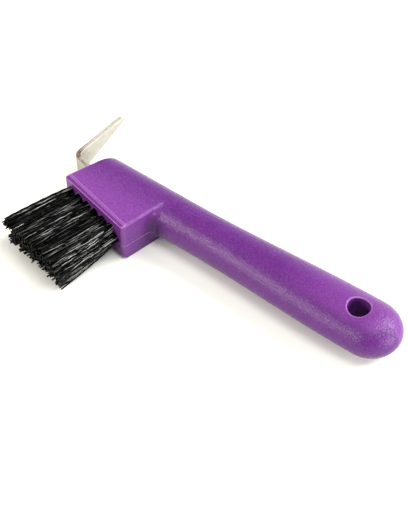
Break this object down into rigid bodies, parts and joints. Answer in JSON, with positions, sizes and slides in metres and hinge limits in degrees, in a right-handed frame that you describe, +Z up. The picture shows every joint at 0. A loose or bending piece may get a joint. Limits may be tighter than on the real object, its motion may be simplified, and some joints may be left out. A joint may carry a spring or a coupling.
{
  "type": "hoof pick",
  "caption": "Hand tool for cleaning hooves: a moulded handle with a hanging hole, a bent tapered steel pick and a block of stiff bristle tufts on the head.",
  "frame": {"origin": "middle of the footprint on the surface the tool lies on", "axes": "+X along the handle towards the round end with the hanging hole, +Y towards the tip of the pick, +Z up through the thickness"},
  "size_m": [0.1768, 0.093, 0.021],
  "materials": {
    "purple_plastic": "satin moulded plastic with a fine grain",
    "pick_steel": "zinc-plated strip steel, satin",
    "black_bristle": "stiff black synthetic filament",
    "anchor_wire": "plain flat wire"
  },
  "bodies": {
    "root": {"handle_body": "purple_plastic", "pick": "pick_steel", "tuft_upper_1": "black_bristle", "tuft_upper_2": "black_bristle", "tuft_upper_3": "black_bristle", "tuft_upper_4": "black_bristle", "tuft_upper_5": "black_bristle", "tuft_upper_6": "black_bristle", "tuft_middle_1": "black_bristle", "tuft_middle_2": "black_bristle", "tuft_middle_3": "black_bristle", "tuft_middle_4": "black_bristle", "tuft_middle_5": "black_bristle", "tuft_middle_6": "black_bristle", "tuft_lower_1": "black_bristle", "tuft_lower_2": "black_bristle", "tuft_lower_3": "black_bristle", "tuft_lower_4": "black_bristle", "tuft_lower_5": "black_bristle", "tuft_lower_6": "black_bristle", "anchor_upper_1": "anchor_wire", "anchor_upper_2": "anchor_wire", "anchor_upper_3": "anchor_wire", "anchor_upper_4": "anchor_wire", "anchor_upper_5": "anchor_wire", "anchor_upper_6": "anchor_wire", "anchor_middle_1": "anchor_wire", "anchor_middle_2": "anchor_wire", "anchor_middle_3": "anchor_wire", "anchor_middle_4": "anchor_wire", "anchor_middle_5": "anchor_wire", "anchor_middle_6": "anchor_wire", "anchor_lower_1": "anchor_wire", "anchor_lower_2": "anchor_wire", "anchor_lower_3": "anchor_wire", "anchor_lower_4": "anchor_wire", "anchor_lower_5": "anchor_wire", "anchor_lower_6": "anchor_wire"}
  },
  "joints": []
}
